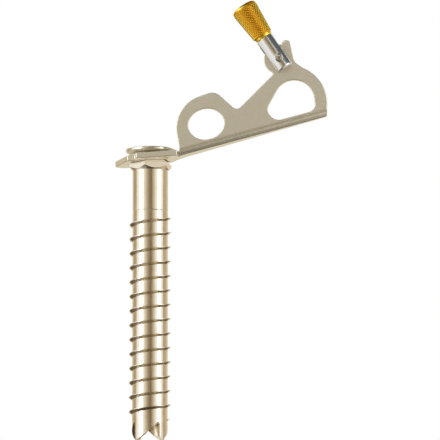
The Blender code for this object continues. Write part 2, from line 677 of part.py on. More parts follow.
def knob_washer(frame):
    hole = SCREW_HOLE_RADIUS
    top = WASHER_START + WASHER_THICKNESS
    profile = [(hole, top), (WASHER_RADIUS, top), (WASHER_RADIUS, WASHER_START), (hole, WASHER_START)]
    give_finish(turned("knob_washer", profile, True, 32, PARTS, frame), STEEL_BRIGHT)


def knob_screw(frame):
    """The screw that holds the washer, with a hexagonal socket."""
    top = SCREW_HEAD_START + SCREW_HEAD_HEIGHT
    shank_end = SPINDLE_END - SCREW_SHANK_LENGTH
    profile = [(0.0, top), (SCREW_HEAD_RADIUS - RING_EDGE, top), (SCREW_HEAD_RADIUS, top - RING_EDGE),
               (SCREW_HEAD_RADIUS, SCREW_HEAD_START), (SCREW_SHANK_RADIUS, SCREW_HEAD_START),
               (SCREW_SHANK_RADIUS, shank_end), (0.0, shank_end)]
    screw = turned("knob_screw", profile, False, 24, PARTS, frame)
    socket_low = top - SCREW_SOCKET_DEPTH
    combine(screw, rod("screw_socket", SCREW_SOCKET_RADIUS, socket_low, top + OVERCUT, 6, CUTTERS, frame),
            "DIFFERENCE")
    give_finish(screw, STEEL_BRIGHT)


screw_tube()
head_ring()
hanger("hanger", True)
hanger("hanger_flange", False)
CRANK = crank_frame()
for piece in (crank_stem, pivot_pin, detent_plunger, detent_spring, knob, knob_washer, knob_screw):
    piece(CRANK)
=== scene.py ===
import json
import math

import bmesh
import bpy
from mathutils import Matrix, Vector


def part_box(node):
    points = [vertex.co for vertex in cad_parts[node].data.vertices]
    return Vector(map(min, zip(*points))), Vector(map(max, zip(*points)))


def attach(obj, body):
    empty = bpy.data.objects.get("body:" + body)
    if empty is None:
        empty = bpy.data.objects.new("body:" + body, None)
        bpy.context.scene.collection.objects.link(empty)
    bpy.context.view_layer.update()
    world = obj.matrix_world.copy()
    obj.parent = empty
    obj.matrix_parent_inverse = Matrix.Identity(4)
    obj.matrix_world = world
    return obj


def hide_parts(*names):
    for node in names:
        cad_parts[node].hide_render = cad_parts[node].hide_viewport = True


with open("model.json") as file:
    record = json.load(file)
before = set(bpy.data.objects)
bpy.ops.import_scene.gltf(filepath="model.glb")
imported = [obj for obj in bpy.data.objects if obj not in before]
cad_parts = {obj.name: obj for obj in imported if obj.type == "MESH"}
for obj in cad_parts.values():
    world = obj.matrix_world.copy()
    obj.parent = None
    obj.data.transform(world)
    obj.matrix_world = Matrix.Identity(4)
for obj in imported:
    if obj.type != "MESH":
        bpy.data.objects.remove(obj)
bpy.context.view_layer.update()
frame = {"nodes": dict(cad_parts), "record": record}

# Sizes shared with the solids, in metres
GAP = 0.0003
OVERCUT = 0.001            # how far a cutter runs past the form that it cuts
TUBE_LENGTH = 0.130
TUBE_RADIUS = 0.0083
BORE_RADIUS = 0.0064
GROOVE_BELOW_SEAT = 0.0224
GROOVE_DEPTH = 0.0002
COLLAR_RADIUS = 0.0102
COLLAR_HEIGHT = 0.0014
HEX_TURN = -14.0
NECK_RADIUS = 0.0086
SPIGOT_RADIUS = 0.0072
THREAD_PITCH = 0.00674
THREAD_CREST_RADIUS = 0.0097
THREAD_CREST_WIDTH = 0.00045
THREAD_ROOT_WIDTH = 0.0016
THREAD_ROOT_SINK = 0.0005
THREAD_TOP_BELOW_SEAT = 0.0232
THREAD_END_BELOW_SEAT = 0.1208
THREAD_FIRST_CREST = 0.0256
THREAD_FADE_TURNS = 0.35
TOOTH_COUNT = 4
TOOTH_TIP_AZIMUTH = math.radians(40.7)
TOOTH_LAND = math.radians(4)
TOOTH_NOSE = math.radians(4)
TOOTH_NOSE_HEIGHT = 0.0016
TOOTH_CORNER = 0.0001
GULLET_HEIGHT = 0.0083
GULLET_ROUND = 0.0010
GULLET_SAG = 0.35
TOOTH_BEVEL_HEIGHT = 0.0030
TOOTH_EDGE = 0.0003
RING_RADIUS = 0.0115
RING_FOOT_RADIUS = 0.0098
RING_FLARE = 0.0011
RING_RIM = 0.0013
PLATE = 0.0026
FOLD_INNER_RADIUS = 0.0008
WEB_FRONT = 0.0150
HANGER_PLAY = 0.0005       # between the hanger and the neck
ARM_BEND_X = 0.0115
ARM_BEND_RADIUS = 0.0120
ARM_SLOPE = math.radians(15.2)
HANGER_ROCK = math.radians(4.0)
FLANGE_FRONT = 0.0155
FLANGE_RING_RADIUS = 0.0118
FLANGE_BACK = (-0.0125, 0.0139)
FLANGE_END = (-0.0172, 0.0090)
FLANGE_SIDE = (-0.0107, -0.0083)
FLANGE_STEP = (-0.0067, -0.0090)
STRIP_WIDTH_NEAR = 0.0130
STRIP_WIDTH_FAR = 0.0052
RELIEF_X = 0.0128
RELIEF_WIDTH = 0.0010
RELIEF_DEPTH = 0.0048
LOBE_1 = (0.0193, 0.0084)
LOBE_1_RADIUS = 0.0159
LOBE_1_TOP = (0.0230, 0.0193)
LOBE_1_TOP_RADIUS = 0.0053
LOBE_2 = (0.0574, 0.0101)
LOBE_2_RADIUS = 0.01815
NOTCH = (0.0333, 0.0131)
NOTCH_RADIUS = 0.0026
SHOULDER = (0.0545, 0.0254)
PIVOT = (0.0587, 0.0317)
TAB_RADIUS = 0.0070
EAR_TIP = (0.0637, 0.0373)
EAR_RADIUS = 0.0021
EAR_FOOT = (0.0653, 0.0283)
TIP_REACH = 0.0158
RELIEF_MOUTH_ROUND = 0.0006
SHOULDER_ROUND = 0.0012
EAR_FOOT_ROUND = 0.0036
TIP_ROUND = 0.0006
STRIP_END_ROUND = 0.0010
STRIP_ROUND = 0.0050
FLANGE_ROUND = 0.0040
FLANGE_CORNER_ROUND = 0.0008
EYE_1 = (0.0179, 0.0108)
EYE_1_WIDTH = 0.0170
EYE_1_HEIGHT = 0.0146
EYE_1_FLOOR = 0.0002
EYE_2_LEFT = (0.0523, 0.0087)
EYE_2_LEFT_RADIUS = 0.0050
EYE_2_TOP = (0.0606, 0.0112)
EYE_2_TOP_RADIUS = 0.00925
EYE_2_RIGHT = (0.0655, 0.0076)
EYE_2_RIGHT_RADIUS = 0.0039
STEM_RADIUS = 0.0044
STEM_TOP = 0.0118
STEM_FOOT = 0.0056
STEM_FOOT_ROUND = 0.0012
STEM_EDGE = 0.0004
SLOT_TOP = 0.0092
PIN_RADIUS = 0.0015
PIN_RECESS = 0.0002
PIN_RIM = 0.0011           # countersink round the pin
SPINDLE_RADIUS = 0.0027
SPINDLE_LENGTH = 0.0100
KNOB_LENGTH = 0.0170
KNOB_BASE_RADIUS = 0.0047
KNOB_TOP_RADIUS = 0.0063
KNOB_CROWN = 0.0012
KNOB_CHAMFER = 0.0005
WASHER_RADIUS = 0.0038
WASHER_THICKNESS = 0.0008
SCREW_HEAD_RADIUS = 0.0030
SCREW_HEAD_HEIGHT = 0.0018
SCREW_SOCKET_RADIUS = 0.0012
SCREW_SOCKET_DEPTH = 0.0010
SCREW_SHANK_RADIUS = 0.0010
SCREW_REACH = 0.005        # length of the screw's shank inside the spindle

# Fineness of the finished surfaces
SIDES = 128
SMALL_SIDES = 96
THREAD_STEPS = 64
THREAD_EDGE = 0.00008
FOLD_STEPS = 16
ARM_BEND_STEPS = 6
EDGE_ROUND = 0.00035
KNURL_COUNT = 24
KNURL_ROWS = 11
KNURL_DEPTH = 0.00050
KNURL_CELL = 8
KNURL_FOOT = 2.2           # plain foot of the knob, in chamfers
RIM_SHY = 0.0001           # the knob's skin keeps inside its solid by this much

# Where these meet
FOLD_MID_RADIUS = FOLD_INNER_RADIUS + PLATE / 2
FOLD_LENGTH = FOLD_MID_RADIUS * math.pi / 2
FOLD_LINE = WEB_FRONT - FOLD_INNER_RADIUS - PLATE
WEB_ROOT = FOLD_LENGTH - FOLD_INNER_RADIUS - PLATE
HANGER_LIFT = COLLAR_RADIUS * math.tan(HANGER_ROCK) + GAP
RING_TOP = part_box("head_ring")[1][2]
RING_BOTTOM = RING_TOP - RING_FLARE - RING_RIM
NECK_TOP = RING_BOTTOM - GAP
KNOB_START = STEM_TOP + GAP
SPINDLE_END = STEM_TOP + SPINDLE_LENGTH
WASHER_START = SPINDLE_END + GAP
SCREW_HEAD_START = WASHER_START + WASHER_THICKNESS + GAP
JOINTS = {joint["name"]: joint for joint in frame["record"]["behaviour"]["joints"]}
CRANK_AXIS = Vector(JOINTS["knob_spin"]["axis"])
CRANK = Matrix.Translation(JOINTS["knob_fold"]["pos_m"]) @ Matrix.Rotation(
    math.atan2(CRANK_AXIS.x, CRANK_AXIS.z), 4, "Y")


# Camera
PIXEL = 0.000468           # one pixel of the photograph at the object
PHOTO = 440
TUBE_AXIS_PX = 150.3       # the tube's axis in the photograph
SEAT_PX = 164.2            # the hanger's seat in the photograph
CAMERA_DROP = math.radians(8)
CAMERA_DISTANCE = 2.0


def add_camera():
    data = bpy.data.cameras.new("camera")
    data.sensor_width = 36.0
    data.lens = data.sensor_width * CAMERA_DISTANCE / (PHOTO * PIXEL)
    data.clip_end = 50.0
    camera = bpy.data.objects.new("camera", data)
    bpy.context.scene.collection.objects.link(camera)
    aim = Vector(((PHOTO / 2 - TUBE_AXIS_PX) * PIXEL, 0.0,
                  (SEAT_PX - PHOTO / 2) * PIXEL / math.cos(CAMERA_DROP)))
    back = Vector((0.0, -math.cos(CAMERA_DROP), -math.sin(CAMERA_DROP)))
    camera.location = aim + back * CAMERA_DISTANCE
    camera.rotation_mode = "QUATERNION"
    camera.rotation_quaternion = (-back).to_track_quat("-Z", "Y")
    bpy.context.scene.camera = camera


# Mesh helpers
def link(obj):
    bpy.context.scene.collection.objects.link(obj)
    return obj


def evaluated(obj):
    bpy.context.view_layer.update()
    shown = obj.evaluated_get(bpy.context.evaluated_depsgraph_get())
    mesh = bpy.data.meshes.new_from_object(shown)
    bpy.data.objects.remove(obj, do_unlink=True)
    return mesh


def turned(name, profile, closed, sides):
    mesh = bpy.data.meshes.new(name)
    count = len(profile)
    edges = [(i, i + 1) for i in range(count - 1)]
    if closed:
        edges.append((count - 1, 0))
    mesh.from_pydata([(radius, 0.0, height) for radius, height in profile], edges, [])
    obj = link(bpy.data.objects.new(name, mesh))
    screw = obj.modifiers.new("turn", "SCREW")
    screw.steps = sides
    screw.render_steps = sides
    screw.use_merge_vertices = True
    screw.merge_threshold = 0.00001
    return obj


def rod(name, radius, low, high, sides):
    return turned(name, [(0.0, high), (radius, high), (radius, low), (0.0, low)], False, sides)


def from_bmesh(name, bm):
    bmesh.ops.recalc_face_normals(bm, faces=bm.faces)
    mesh = bpy.data.meshes.new(name)
    bm.to_mesh(mesh)
    bm.free()
    return link(bpy.data.objects.new(name, mesh))


def combine(target, tools, operation):
    """Join or cut a form with others, which are used up."""
    for tool in tools:
        boolean = target.modifiers.new(tool.name, "BOOLEAN")
        boolean.operation = operation
        boolean.solver = "EXACT"
        boolean.object = tool


def arc(centre, radius, start, end, steps):
    points = []
    for i in range(steps + 1):
        angle = math.radians(start + (end - start) * i / steps)
        points.append((centre[0] + radius * math.cos(angle), centre[1] + radius * math.sin(angle)))
    return points


def filleted(corner, before, after, radius, steps):
    at = Vector(corner)
    towards_before = (Vector(before) - at).normalized()
    towards_after = (Vector(after) - at).normalized()
    half = towards_before.angle(towards_after) / 2
    reach = radius / math.tan(half)
    centre = at + (towards_before + towards_after).normalized() * radius / math.sin(half)
    start = at + towards_before * reach - centre
    end = at + towards_after * reach - centre
    sweep = start.angle_signed(end)
    return [tuple(centre + Matrix.Rotation(-sweep * i / steps, 2) @ start) for i in range(steps + 1)]


def softened(profile, radius, closed, steps=3):
    """A turned profile with its corners rounded, where there is room."""
    count = len(profile)
    points = []
    for i, corner in enumerate(profile):
        before = profile[i - 1]
        after = profile[(i + 1) % count]
        if not closed and i in (0, count - 1):
            points.append(corner)
            continue
        room = min((Vector(corner) - Vector(before)).length, (Vector(corner) - Vector(after)).length)
        turn = (Vector(corner) - Vector(before)).angle(Vector(after) - Vector(corner))
        reach = min(radius * math.tan(turn / 2), 0.45 * room)
        if turn < 0.15 or reach < 0.00001:
            points.append(corner)
            continue
        points += filleted(corner, before, after, reach / math.tan(turn / 2), steps)
    return points


def flat_plate(name, outlines, thickness, edge_round=0.0):
    """A plate between z 0 and its thickness from closed outlines, its edges rounded."""
    curve = bpy.data.curves.new(name, "CURVE")
    curve.dimensions = "2D"
    curve.fill_mode = "BOTH"
    curve.extrude = thickness / 2 - edge_round
    curve.bevel_depth = edge_round
    curve.bevel_resolution = 2
    curve.offset = -edge_round
    for outline in outlines:
        spline = curve.splines.new("POLY")
        spline.points.add(len(outline) - 1)
        for point, (x, y) in zip(spline.points, outline):
            point.co = (x, y, 0.0, 1.0)
        spline.use_cyclic_u = True
    mesh = evaluated(link(bpy.data.objects.new(name + "_flat", curve)))
    mesh.transform(Matrix.Translation((0.0, 0.0, thickness / 2)))
    bm = bmesh.new()
    bm.from_mesh(mesh)
    bpy.data.meshes.remove(mesh)
    bmesh.ops.remove_doubles(bm, verts=bm.verts, dist=0.000002)
    return from_bmesh(name, bm)


def loft_rings(bm, rings):
    rows = [[bm.verts.new(point) for point in ring] for ring in rings]
    count = len(rows[0])
    for lower, upper in zip(rows, rows[1:]):
        for i in range(count):
            j = (i + 1) % count
            bm.faces.new((lower[i], lower[j], upper[j], upper[i]))
    bm.faces.new(rows[0])
    bm.faces.new(rows[-1])


def keep_own_coordinates(mesh):
    """Store each point's place before the piece is set on the crank, for its material."""
    own = mesh.attributes.new(OWN_PLACE, "FLOAT_VECTOR", "POINT")
    for value, vert in zip(own.data, mesh.vertices):
        value.vector = vert.co


def finished(obj, material, body, nodes, placed=None, sharp=30):
    """Turn a form into a piece of the finished object."""
    name = obj.name.split(".")[0] + "_skin"
    mesh = evaluated(obj)
    mesh.name = name
    mesh.shade_smooth()
    mesh.set_sharp_from_angle(angle=math.radians(sharp))
    mesh.materials.clear()
    mesh.materials.append(material)
    if placed is not None:
        keep_own_coordinates(mesh)
        mesh.transform(placed)
    piece = link(bpy.data.objects.new(name, mesh))
    bpy.context.view_layer.update()
    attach(piece, body)
    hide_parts(*nodes)
    return piece


# Materials
OWN_PLACE = "own_place"
CREST = "crest"
PLAIN_CREST = 0.8          # how pale the knob's plain ends are, on the knurl's colour scale from 0 in a groove (painted shade) to 1 on a tip (wear and painted highlight)


def shader_of(name):
    material = bpy.data.materials.new(name)
    material.use_nodes = True
    tree = material.node_tree
    return material, tree, tree.nodes["Principled BSDF"]


def noise(tree, stretch, scale, detail=3.0, rough=0.55, own=False):
    """Noise on the piece's coordinates, stretched by an amount along each axis."""
    place = tree.nodes.new("ShaderNodeAttribute" if own else "ShaderNodeTexCoord")
    if own:
        place.attribute_name = OWN_PLACE
    mapping = tree.nodes.new("ShaderNodeMapping")
    mapping.inputs["Scale"].default_value = stretch
    texture = tree.nodes.new("ShaderNodeTexNoise")
    texture.inputs["Scale"].default_value = scale
    texture.inputs["Detail"].default_value = detail
    texture.inputs["Roughness"].default_value = rough
    tree.links.new(place.outputs["Vector" if own else "Object"], mapping.inputs["Vector"])
    tree.links.new(mapping.outputs["Vector"], texture.inputs["Vector"])
    return texture.outputs["Fac"]


def spread(tree, value, low, high, start=0.3, end=0.7):
    ranged = tree.nodes.new("ShaderNodeMapRange")
    ranged.inputs["From Min"].default_value = start
    ranged.inputs["From Max"].default_value = end
    ranged.inputs["To Min"].default_value = low
    ranged.inputs["To Max"].default_value = high
    tree.links.new(value, ranged.inputs["Value"])
    return ranged.outputs["Result"]


def two_tone(tree, value, first, second, start=0.35, end=0.65):
    ramp = tree.nodes.new("ShaderNodeValToRGB")
    ramp.color_ramp.elements[0].position = start
    ramp.color_ramp.elements[0].color = (*first, 1.0)
    ramp.color_ramp.elements[1].position = end
    ramp.color_ramp.elements[1].color = (*second, 1.0)
    tree.links.new(value, ramp.inputs["Fac"])
    return ramp.outputs["Color"]


def bumped(tree, layers, shader):
    """Stack bumps of (height, strength, depth) on a shader's normal."""
    normal = None
    for height, strength, depth in layers:
        bump = tree.nodes.new("ShaderNodeBump")
        bump.inputs["Strength"].default_value = strength
        bump.inputs["Distance"].default_value = depth
        tree.links.new(height, bump.inputs["Height"])
        if normal is not None:
            tree.links.new(normal, bump.inputs["Normal"])
        normal = bump.outputs["Normal"]
    tree.links.new(normal, shader.inputs["Normal"])


def turned_steel(name, light, dark, roughness, line_strength, own=False):
    """Polished steel with the fine rings that a lathe leaves across the axis."""
    material, tree, shader = shader_of(name)
    shader.inputs["Metallic"].default_value = 1.0
    blotch = noise(tree, (1.0, 1.0, 1.0), 160.0, 4.0, own=own)
    rings = noise(tree, (0.02, 0.02, 1.0), 7000.0, 2.0, own=own)
    scuffs = noise(tree, (1.0, 1.0, 0.35), 1400.0, 5.0, 0.65, own=own)
    tree.links.new(two_tone(tree, blotch, dark, light), shader.inputs["Base Color"])
    tree.links.new(spread(tree, scuffs, roughness - 0.05, roughness + 0.09), shader.inputs["Roughness"])
    bumped(tree, [(rings, line_strength, 0.000004), (scuffs, 0.06, 0.00001)], shader)
    return material


def tumbled_steel(name, light, dark, roughness, rubbed):
    """Stamped plate after tumbling: grain and mottling, smoother round the fold and the edges."""
    material, tree, shader = shader_of(name)
    shader.inputs["Metallic"].default_value = 0.8
    mottle = noise(tree, (1.0, 1.0, 1.0), 260.0, 6.0, 0.6)
    grain = noise(tree, (1.0, 1.0, 1.0), 5200.0, 3.0)
    rubs = noise(tree, (0.06, 1.0, 1.0), 1900.0, 3.0)
    facing = tree.nodes.new("ShaderNodeTexCoord")
    split = tree.nodes.new("ShaderNodeSeparateXYZ")
    tree.links.new(facing.outputs["Normal"], split.inputs["Vector"])
    flatness = tree.nodes.new("ShaderNodeMath")
    flatness.operation = "ABSOLUTE"
    tree.links.new(split.outputs["Y"], flatness.inputs[0])
    satin = spread(tree, mottle, roughness + 0.06, roughness - 0.05)
    pick = tree.nodes.new("ShaderNodeMix")
    tree.links.new(spread(tree, flatness.outputs[0], 0.0, 1.0, 0.97, 0.999), pick.inputs["Factor"])
    pick.inputs["A"].default_value = rubbed
    tree.links.new(satin, pick.inputs["B"])
    tree.links.new(two_tone(tree, mottle, dark, light, 0.3, 0.7), shader.inputs["Base Color"])
    tree.links.new(pick.outputs["Result"], shader.inputs["Roughness"])
    bumped(tree, [(grain, 0.16, 0.00002), (rubs, 0.08, 0.00003)], shader)
    return material


def anodised(name, light, dark, roughness):
    """Gold anodised aluminium, paler on the tips of the knurl, partly where hands have rubbed them and
    partly as a painted highlight, and darker in its grooves as painted shade.
    """
    material, tree, shader = shader_of(name)
    shader.inputs["Metallic"].default_value = 1.0
    grain = noise(tree, (1.0, 1.0, 1.0), 6000.0, 2.0)
    crest = tree.nodes.new("ShaderNodeAttribute")
    crest.attribute_name = CREST
    # The knurl's colour mix: dark in the grooves as painted shade, pale on the tips partly as wear and
    # partly as painted highlight.
    rubbed = tree.nodes.new("ShaderNodeMix")
    rubbed.data_type = "RGBA"
    rubbed.inputs["A"].default_value = (*dark, 1.0)
    rubbed.inputs["B"].default_value = (*light, 1.0)
    tree.links.new(spread(tree, crest.outputs["Fac"], 0.0, 1.0, 0.1, 0.75), rubbed.inputs["Factor"])
    tree.links.new(rubbed.outputs["Result"], shader.inputs["Base Color"])
    tree.links.new(spread(tree, grain, roughness - 0.03, roughness + 0.04), shader.inputs["Roughness"])
    bumped(tree, [(grain, 0.04, 0.00001)], shader)
    return material


TUBE_STEEL = turned_steel("tube_steel_finish", (0.90, 0.83, 0.70), (0.84, 0.76, 0.62), 0.17, 0.16)
RING_STEEL = turned_steel("ring_steel_finish", (0.86, 0.81, 0.70), (0.78, 0.73, 0.62), 0.24, 0.22)
STEM_STEEL = turned_steel("stem_steel_finish", (0.90, 0.91, 0.91), (0.84, 0.85, 0.86), 0.13, 0.10, own=True)
HANGER_STEEL = tumbled_steel("hanger_steel_finish", (0.80, 0.76, 0.64), (0.70, 0.66, 0.54), 0.40, 0.17)
# The knob's dark tone is painted shade for the knurl's grooves; its light tone is for the tips, partly wear
# and partly painted highlight.
KNOB_GOLD = anodised("knob_gold_finish", (1.0, 0.76, 0.12), (0.82, 0.38, 0.01), 0.24)


# The tube with its collar, neck, thread and teeth
def hexagon(corner_radius):
    return arc((0.0, 0.0), corner_radius, HEX_TURN - 90, HEX_TURN + 210, 5)


def hex_flats(name, corner_radius, low, high):
    outer = arc((0.0, 0.0), 1.6 * COLLAR_RADIUS, 0, 350, 35)
    cutter = flat_plate(name, [outer, hexagon(corner_radius)], high - low)
    cutter.location.z = low
    return cutter


def thread():
    top = (THREAD_FIRST_CREST - THREAD_TOP_BELOW_SEAT) / THREAD_PITCH
    end = (THREAD_FIRST_CREST - THREAD_END_BELOW_SEAT) / THREAD_PITCH
    count = round((top - end) * THREAD_STEPS)
    root = TUBE_RADIUS - THREAD_ROOT_SINK
    height = THREAD_CREST_RADIUS - root
    half = THREAD_CREST_WIDTH / 2
    foot = half - THREAD_ROOT_WIDTH
    edge = THREAD_EDGE
    section = ((0.0, half + edge), (height - edge, half), (height, half - edge), (height, edge - half),
               (height - edge, -half), (0.72 * height, 0.22 * foot - half),
               (0.50 * height, 0.46 * foot - half), (0.0, foot - half))
    rings = []
    for i in range(count + 1):
        turns = end + (top - end) * i / count
        rise = min(1.0, min(turns - end, top - turns) / THREAD_FADE_TURNS)
        rise = 0.02 + 0.98 * rise * (2.0 - rise)
        angle = 2 * math.pi * turns
        middle = turns * THREAD_PITCH - THREAD_FIRST_CREST
        rings.append([((root + out * rise) * math.cos(angle), (root + out * rise) * math.sin(angle),
                       middle + along) for out, along in section])
    bm = bmesh.new()
    loft_rings(bm, rings)
    return from_bmesh("thread_rib", bm)


def gullets():
    spacing = 2 * math.pi / TOOTH_COUNT
    front = spacing - TOOTH_LAND - TOOTH_NOSE
    below = -2 * OVERCUT
    flank = front - GULLET_ROUND / TUBE_RADIUS
    steps = 24
    outline = [(0.0, below), (0.0, TOOTH_CORNER)]
    for i in range(1, steps + 1):
        share = i / steps
        outline.append((flank * share, GULLET_HEIGHT * (share - GULLET_SAG * share * (1 - share))))
    for i in range(1, 7):
        turn = math.radians(15 * i)
        outline.append((flank + (front - flank) * math.sin(turn),
                        GULLET_HEIGHT - GULLET_ROUND * (1 - math.cos(turn))))
    outline += [(front, TOOTH_NOSE_HEIGHT), (spacing - TOOTH_LAND, TOOTH_CORNER),
                (spacing - TOOTH_LAND, below)]
    bm = bmesh.new()
    for tooth in range(TOOTH_COUNT):
        start = TOOTH_TIP_AZIMUTH + TOOTH_LAND / 2 + tooth * spacing - math.pi / 2
        loft_rings(bm, [[(radius * math.cos(start + along), radius * math.sin(start + along),
                          up - TUBE_LENGTH) for along, up in outline]
                        for radius in (BORE_RADIUS - 2 * OVERCUT, THREAD_CREST_RADIUS + 2 * OVERCUT)])
    bmesh.ops.recalc_face_normals(bm, faces=bm.faces)
    bmesh.ops.triangulate(bm, faces=bm.faces)
    return from_bmesh("gullets", bm)


def make_tube():
    collar_end = -COLLAR_HEIGHT - (COLLAR_RADIUS - TUBE_RADIUS)
    groove = -GROOVE_BELOW_SEAT
    spigot_top = RING_TOP - GAP
    profile = [(SPIGOT_RADIUS, spigot_top), (SPIGOT_RADIUS, NECK_TOP), (NECK_RADIUS, NECK_TOP),
               (NECK_RADIUS, 0.0), (COLLAR_RADIUS, 0.0), (COLLAR_RADIUS, -COLLAR_HEIGHT),
               (TUBE_RADIUS, collar_end), (TUBE_RADIUS, groove + GROOVE_DEPTH),
               (TUBE_RADIUS - GROOVE_DEPTH, groove), (TUBE_RADIUS, groove - GROOVE_DEPTH),
               (TUBE_RADIUS, -TUBE_LENGTH), (TUBE_RADIUS - TOOTH_EDGE, -TUBE_LENGTH),
               (BORE_RADIUS, TOOTH_BEVEL_HEIGHT - TUBE_LENGTH), (BORE_RADIUS, spigot_top)]
    tube = turned("screw_tube", softened(profile, 0.00015, True, 2), True, SIDES)
    flats = [hex_flats("collar_flats", COLLAR_RADIUS, collar_end - 0.0002, 0.0),
             hex_flats("neck_flats", NECK_RADIUS, 0.0, NECK_TOP)]
    rib = thread()
    hollows = gullets()
    combine(tube, flats, "DIFFERENCE")
    combine(tube, [hollows], "DIFFERENCE")
    combine(tube, [rib], "UNION")
    finished(tube, TUBE_STEEL, "screw", ["screw_tube"], sharp=28)
    for tool in flats + [rib, hollows]:
        bpy.data.objects.remove(tool, do_unlink=True)


def make_head_ring():
    hole = SPIGOT_RADIUS + GAP
    rim = RING_BOTTOM + RING_FLARE
    profile = [(hole, RING_TOP), (RING_RADIUS, RING_TOP), (RING_RADIUS, rim),
               (RING_FOOT_RADIUS, RING_BOTTOM), (hole, RING_BOTTOM)]
    ring = turned("head_ring", softened(profile, 0.0004, True), True, SIDES)
    finished(ring, RING_STEEL, "screw", ["head_ring"])


# The hanger, bent from its flat blank
def web_point(along, up):
    return (ARM_BEND_X + along, -FOLD_LINE - up - WEB_ROOT)


def web_arc(centre, radius, start, end, steps):
    return [web_point(along, up) for along, up in arc(centre, radius, start, end, steps)]


def hanger_outline():
    relief_end = RELIEF_X + RELIEF_WIDTH
    relief_bottom = -FLANGE_FRONT + RELIEF_DEPTH
    web_left = web_point(relief_end + 0.0002 - ARM_BEND_X, 0.0)
    relief_radius = RELIEF_WIDTH / 2 - 0.0001
    lobe_1 = web_arc(LOBE_1, LOBE_1_RADIUS, 180, 94, 48) + web_arc(LOBE_1_TOP, LOBE_1_TOP_RADIUS, 94, 33, 20)
    notch = web_point(*NOTCH)
    shoulder = web_point(*SHOULDER)
    tab = web_arc(PIVOT, TAB_RADIUS, 226, 84, 40)
    ear = web_arc(EAR_TIP, EAR_RADIUS, 165, 0, 24)
    ear_foot = web_point(*EAR_FOOT)
    lobe_2 = web_arc(LOBE_2, LOBE_2_RADIUS, 52, -14, 40)
    tip = web_point(LOBE_2[0] + TIP_REACH, 0.0)
    strip_near = (RELIEF_X + 0.0008, STRIP_WIDTH_NEAR - WEB_FRONT)
    strip_far = (tip[0] - 0.0006, STRIP_WIDTH_FAR - WEB_FRONT)
    step = (FLANGE_STEP[0], -FLANGE_FRONT)
    relief_mouth = (RELIEF_X, -FLANGE_FRONT)
    relief_left = (RELIEF_X + 0.0002, relief_bottom)
    relief_right = (relief_end, relief_bottom)
    ring = arc((0.0, 0.0), FLANGE_RING_RADIUS, 20, 80, 24)

    points = filleted(relief_mouth, step, relief_left, RELIEF_MOUTH_ROUND, 6)
    points += filleted(relief_left, relief_mouth, relief_right, relief_radius, 6)
    points += filleted(relief_right, relief_left, web_left, relief_radius, 6)
    points += lobe_1
    points += filleted(notch, lobe_1[-1], shoulder, NOTCH_RADIUS, 16)
    points += filleted(shoulder, notch, tab[0], SHOULDER_ROUND, 8)
    points += tab + ear
    points += filleted(ear_foot, ear[-1], lobe_2[0], EAR_FOOT_ROUND, 10)
    points += lobe_2
    points += filleted(tip, lobe_2[-1], strip_far, TIP_ROUND, 4)
    points += filleted(strip_far, tip, strip_near, STRIP_END_ROUND, 6)
    points += filleted(strip_near, strip_far, ring[0], STRIP_ROUND, 12)
    points += ring
    points += filleted(FLANGE_BACK, ring[-1], FLANGE_END, FLANGE_ROUND, 14)
    points += filleted(FLANGE_END, FLANGE_BACK, FLANGE_SIDE, FLANGE_ROUND, 14)
    points += filleted(FLANGE_SIDE, FLANGE_END, FLANGE_STEP, FLANGE_CORNER_ROUND, 6)
    points += filleted(FLANGE_STEP, FLANGE_SIDE, step, FLANGE_CORNER_ROUND, 6)
    points += filleted(step, FLANGE_STEP, relief_mouth, FLANGE_CORNER_ROUND, 6)
    return points


def eye_1():
    floor = FOLD_INNER_RADIUS + PLATE + EYE_1_FLOOR
    points = []
    for i in range(90):
        angle = 2 * math.pi * i / 90
        up = max(EYE_1[1] + EYE_1_HEIGHT / 2 * math.sin(angle), floor)
        points.append(web_point(EYE_1[0] + EYE_1_WIDTH / 2 * math.cos(angle), up))
    return points


def eye_2():
    points = web_arc(EYE_2_TOP, EYE_2_TOP_RADIUS, -6, 136, 40)
    points += web_arc(EYE_2_LEFT, EYE_2_LEFT_RADIUS, 138, 270, 26)
    points += web_arc(EYE_2_RIGHT, EYE_2_RIGHT_RADIUS, 270, 350, 16)
    return points


def bent(distance, height, radius, angle):
    """Where a point of a strip lies once the strip is bent up round a radius."""
    if distance <= 0.0:
        return distance, height
    turned_by = min(distance / radius, angle)
    beyond = distance - turned_by * radius
    inward = radius - height
    along = inward * math.sin(turned_by) + beyond * math.cos(turned_by)
    up = radius - inward * math.cos(turned_by) + beyond * math.sin(turned_by)
    return along, up


def folded(point):
    """Carry a point of the flat blank to its place on the bent hanger."""
    x, y, z = point
    height = z - PLATE / 2
    if x > RELIEF_X + RELIEF_WIDTH / 2:
        ahead, height = bent(-y - FOLD_LINE, height, FOLD_MID_RADIUS, math.pi / 2)
        y = -FOLD_LINE - ahead
    along, height = bent(x - ARM_BEND_X, height, ARM_BEND_RADIUS, ARM_SLOPE - HANGER_ROCK)
    rocked = Matrix.Rotation(-HANGER_ROCK, 3, "Y") @ Vector((ARM_BEND_X + along, y, height + PLATE / 2))
    return rocked + Vector((0.0, 0.0, HANGER_LIFT))


def cut_across(bm, point, normal):
    """Add a line of edges where a plane crosses a mesh, so that it can bend there."""
    geometry = [item for kind in (bm.verts, bm.edges, bm.faces) for item in kind]
    bmesh.ops.bisect_plane(bm, geom=geometry, plane_co=point, plane_no=normal)


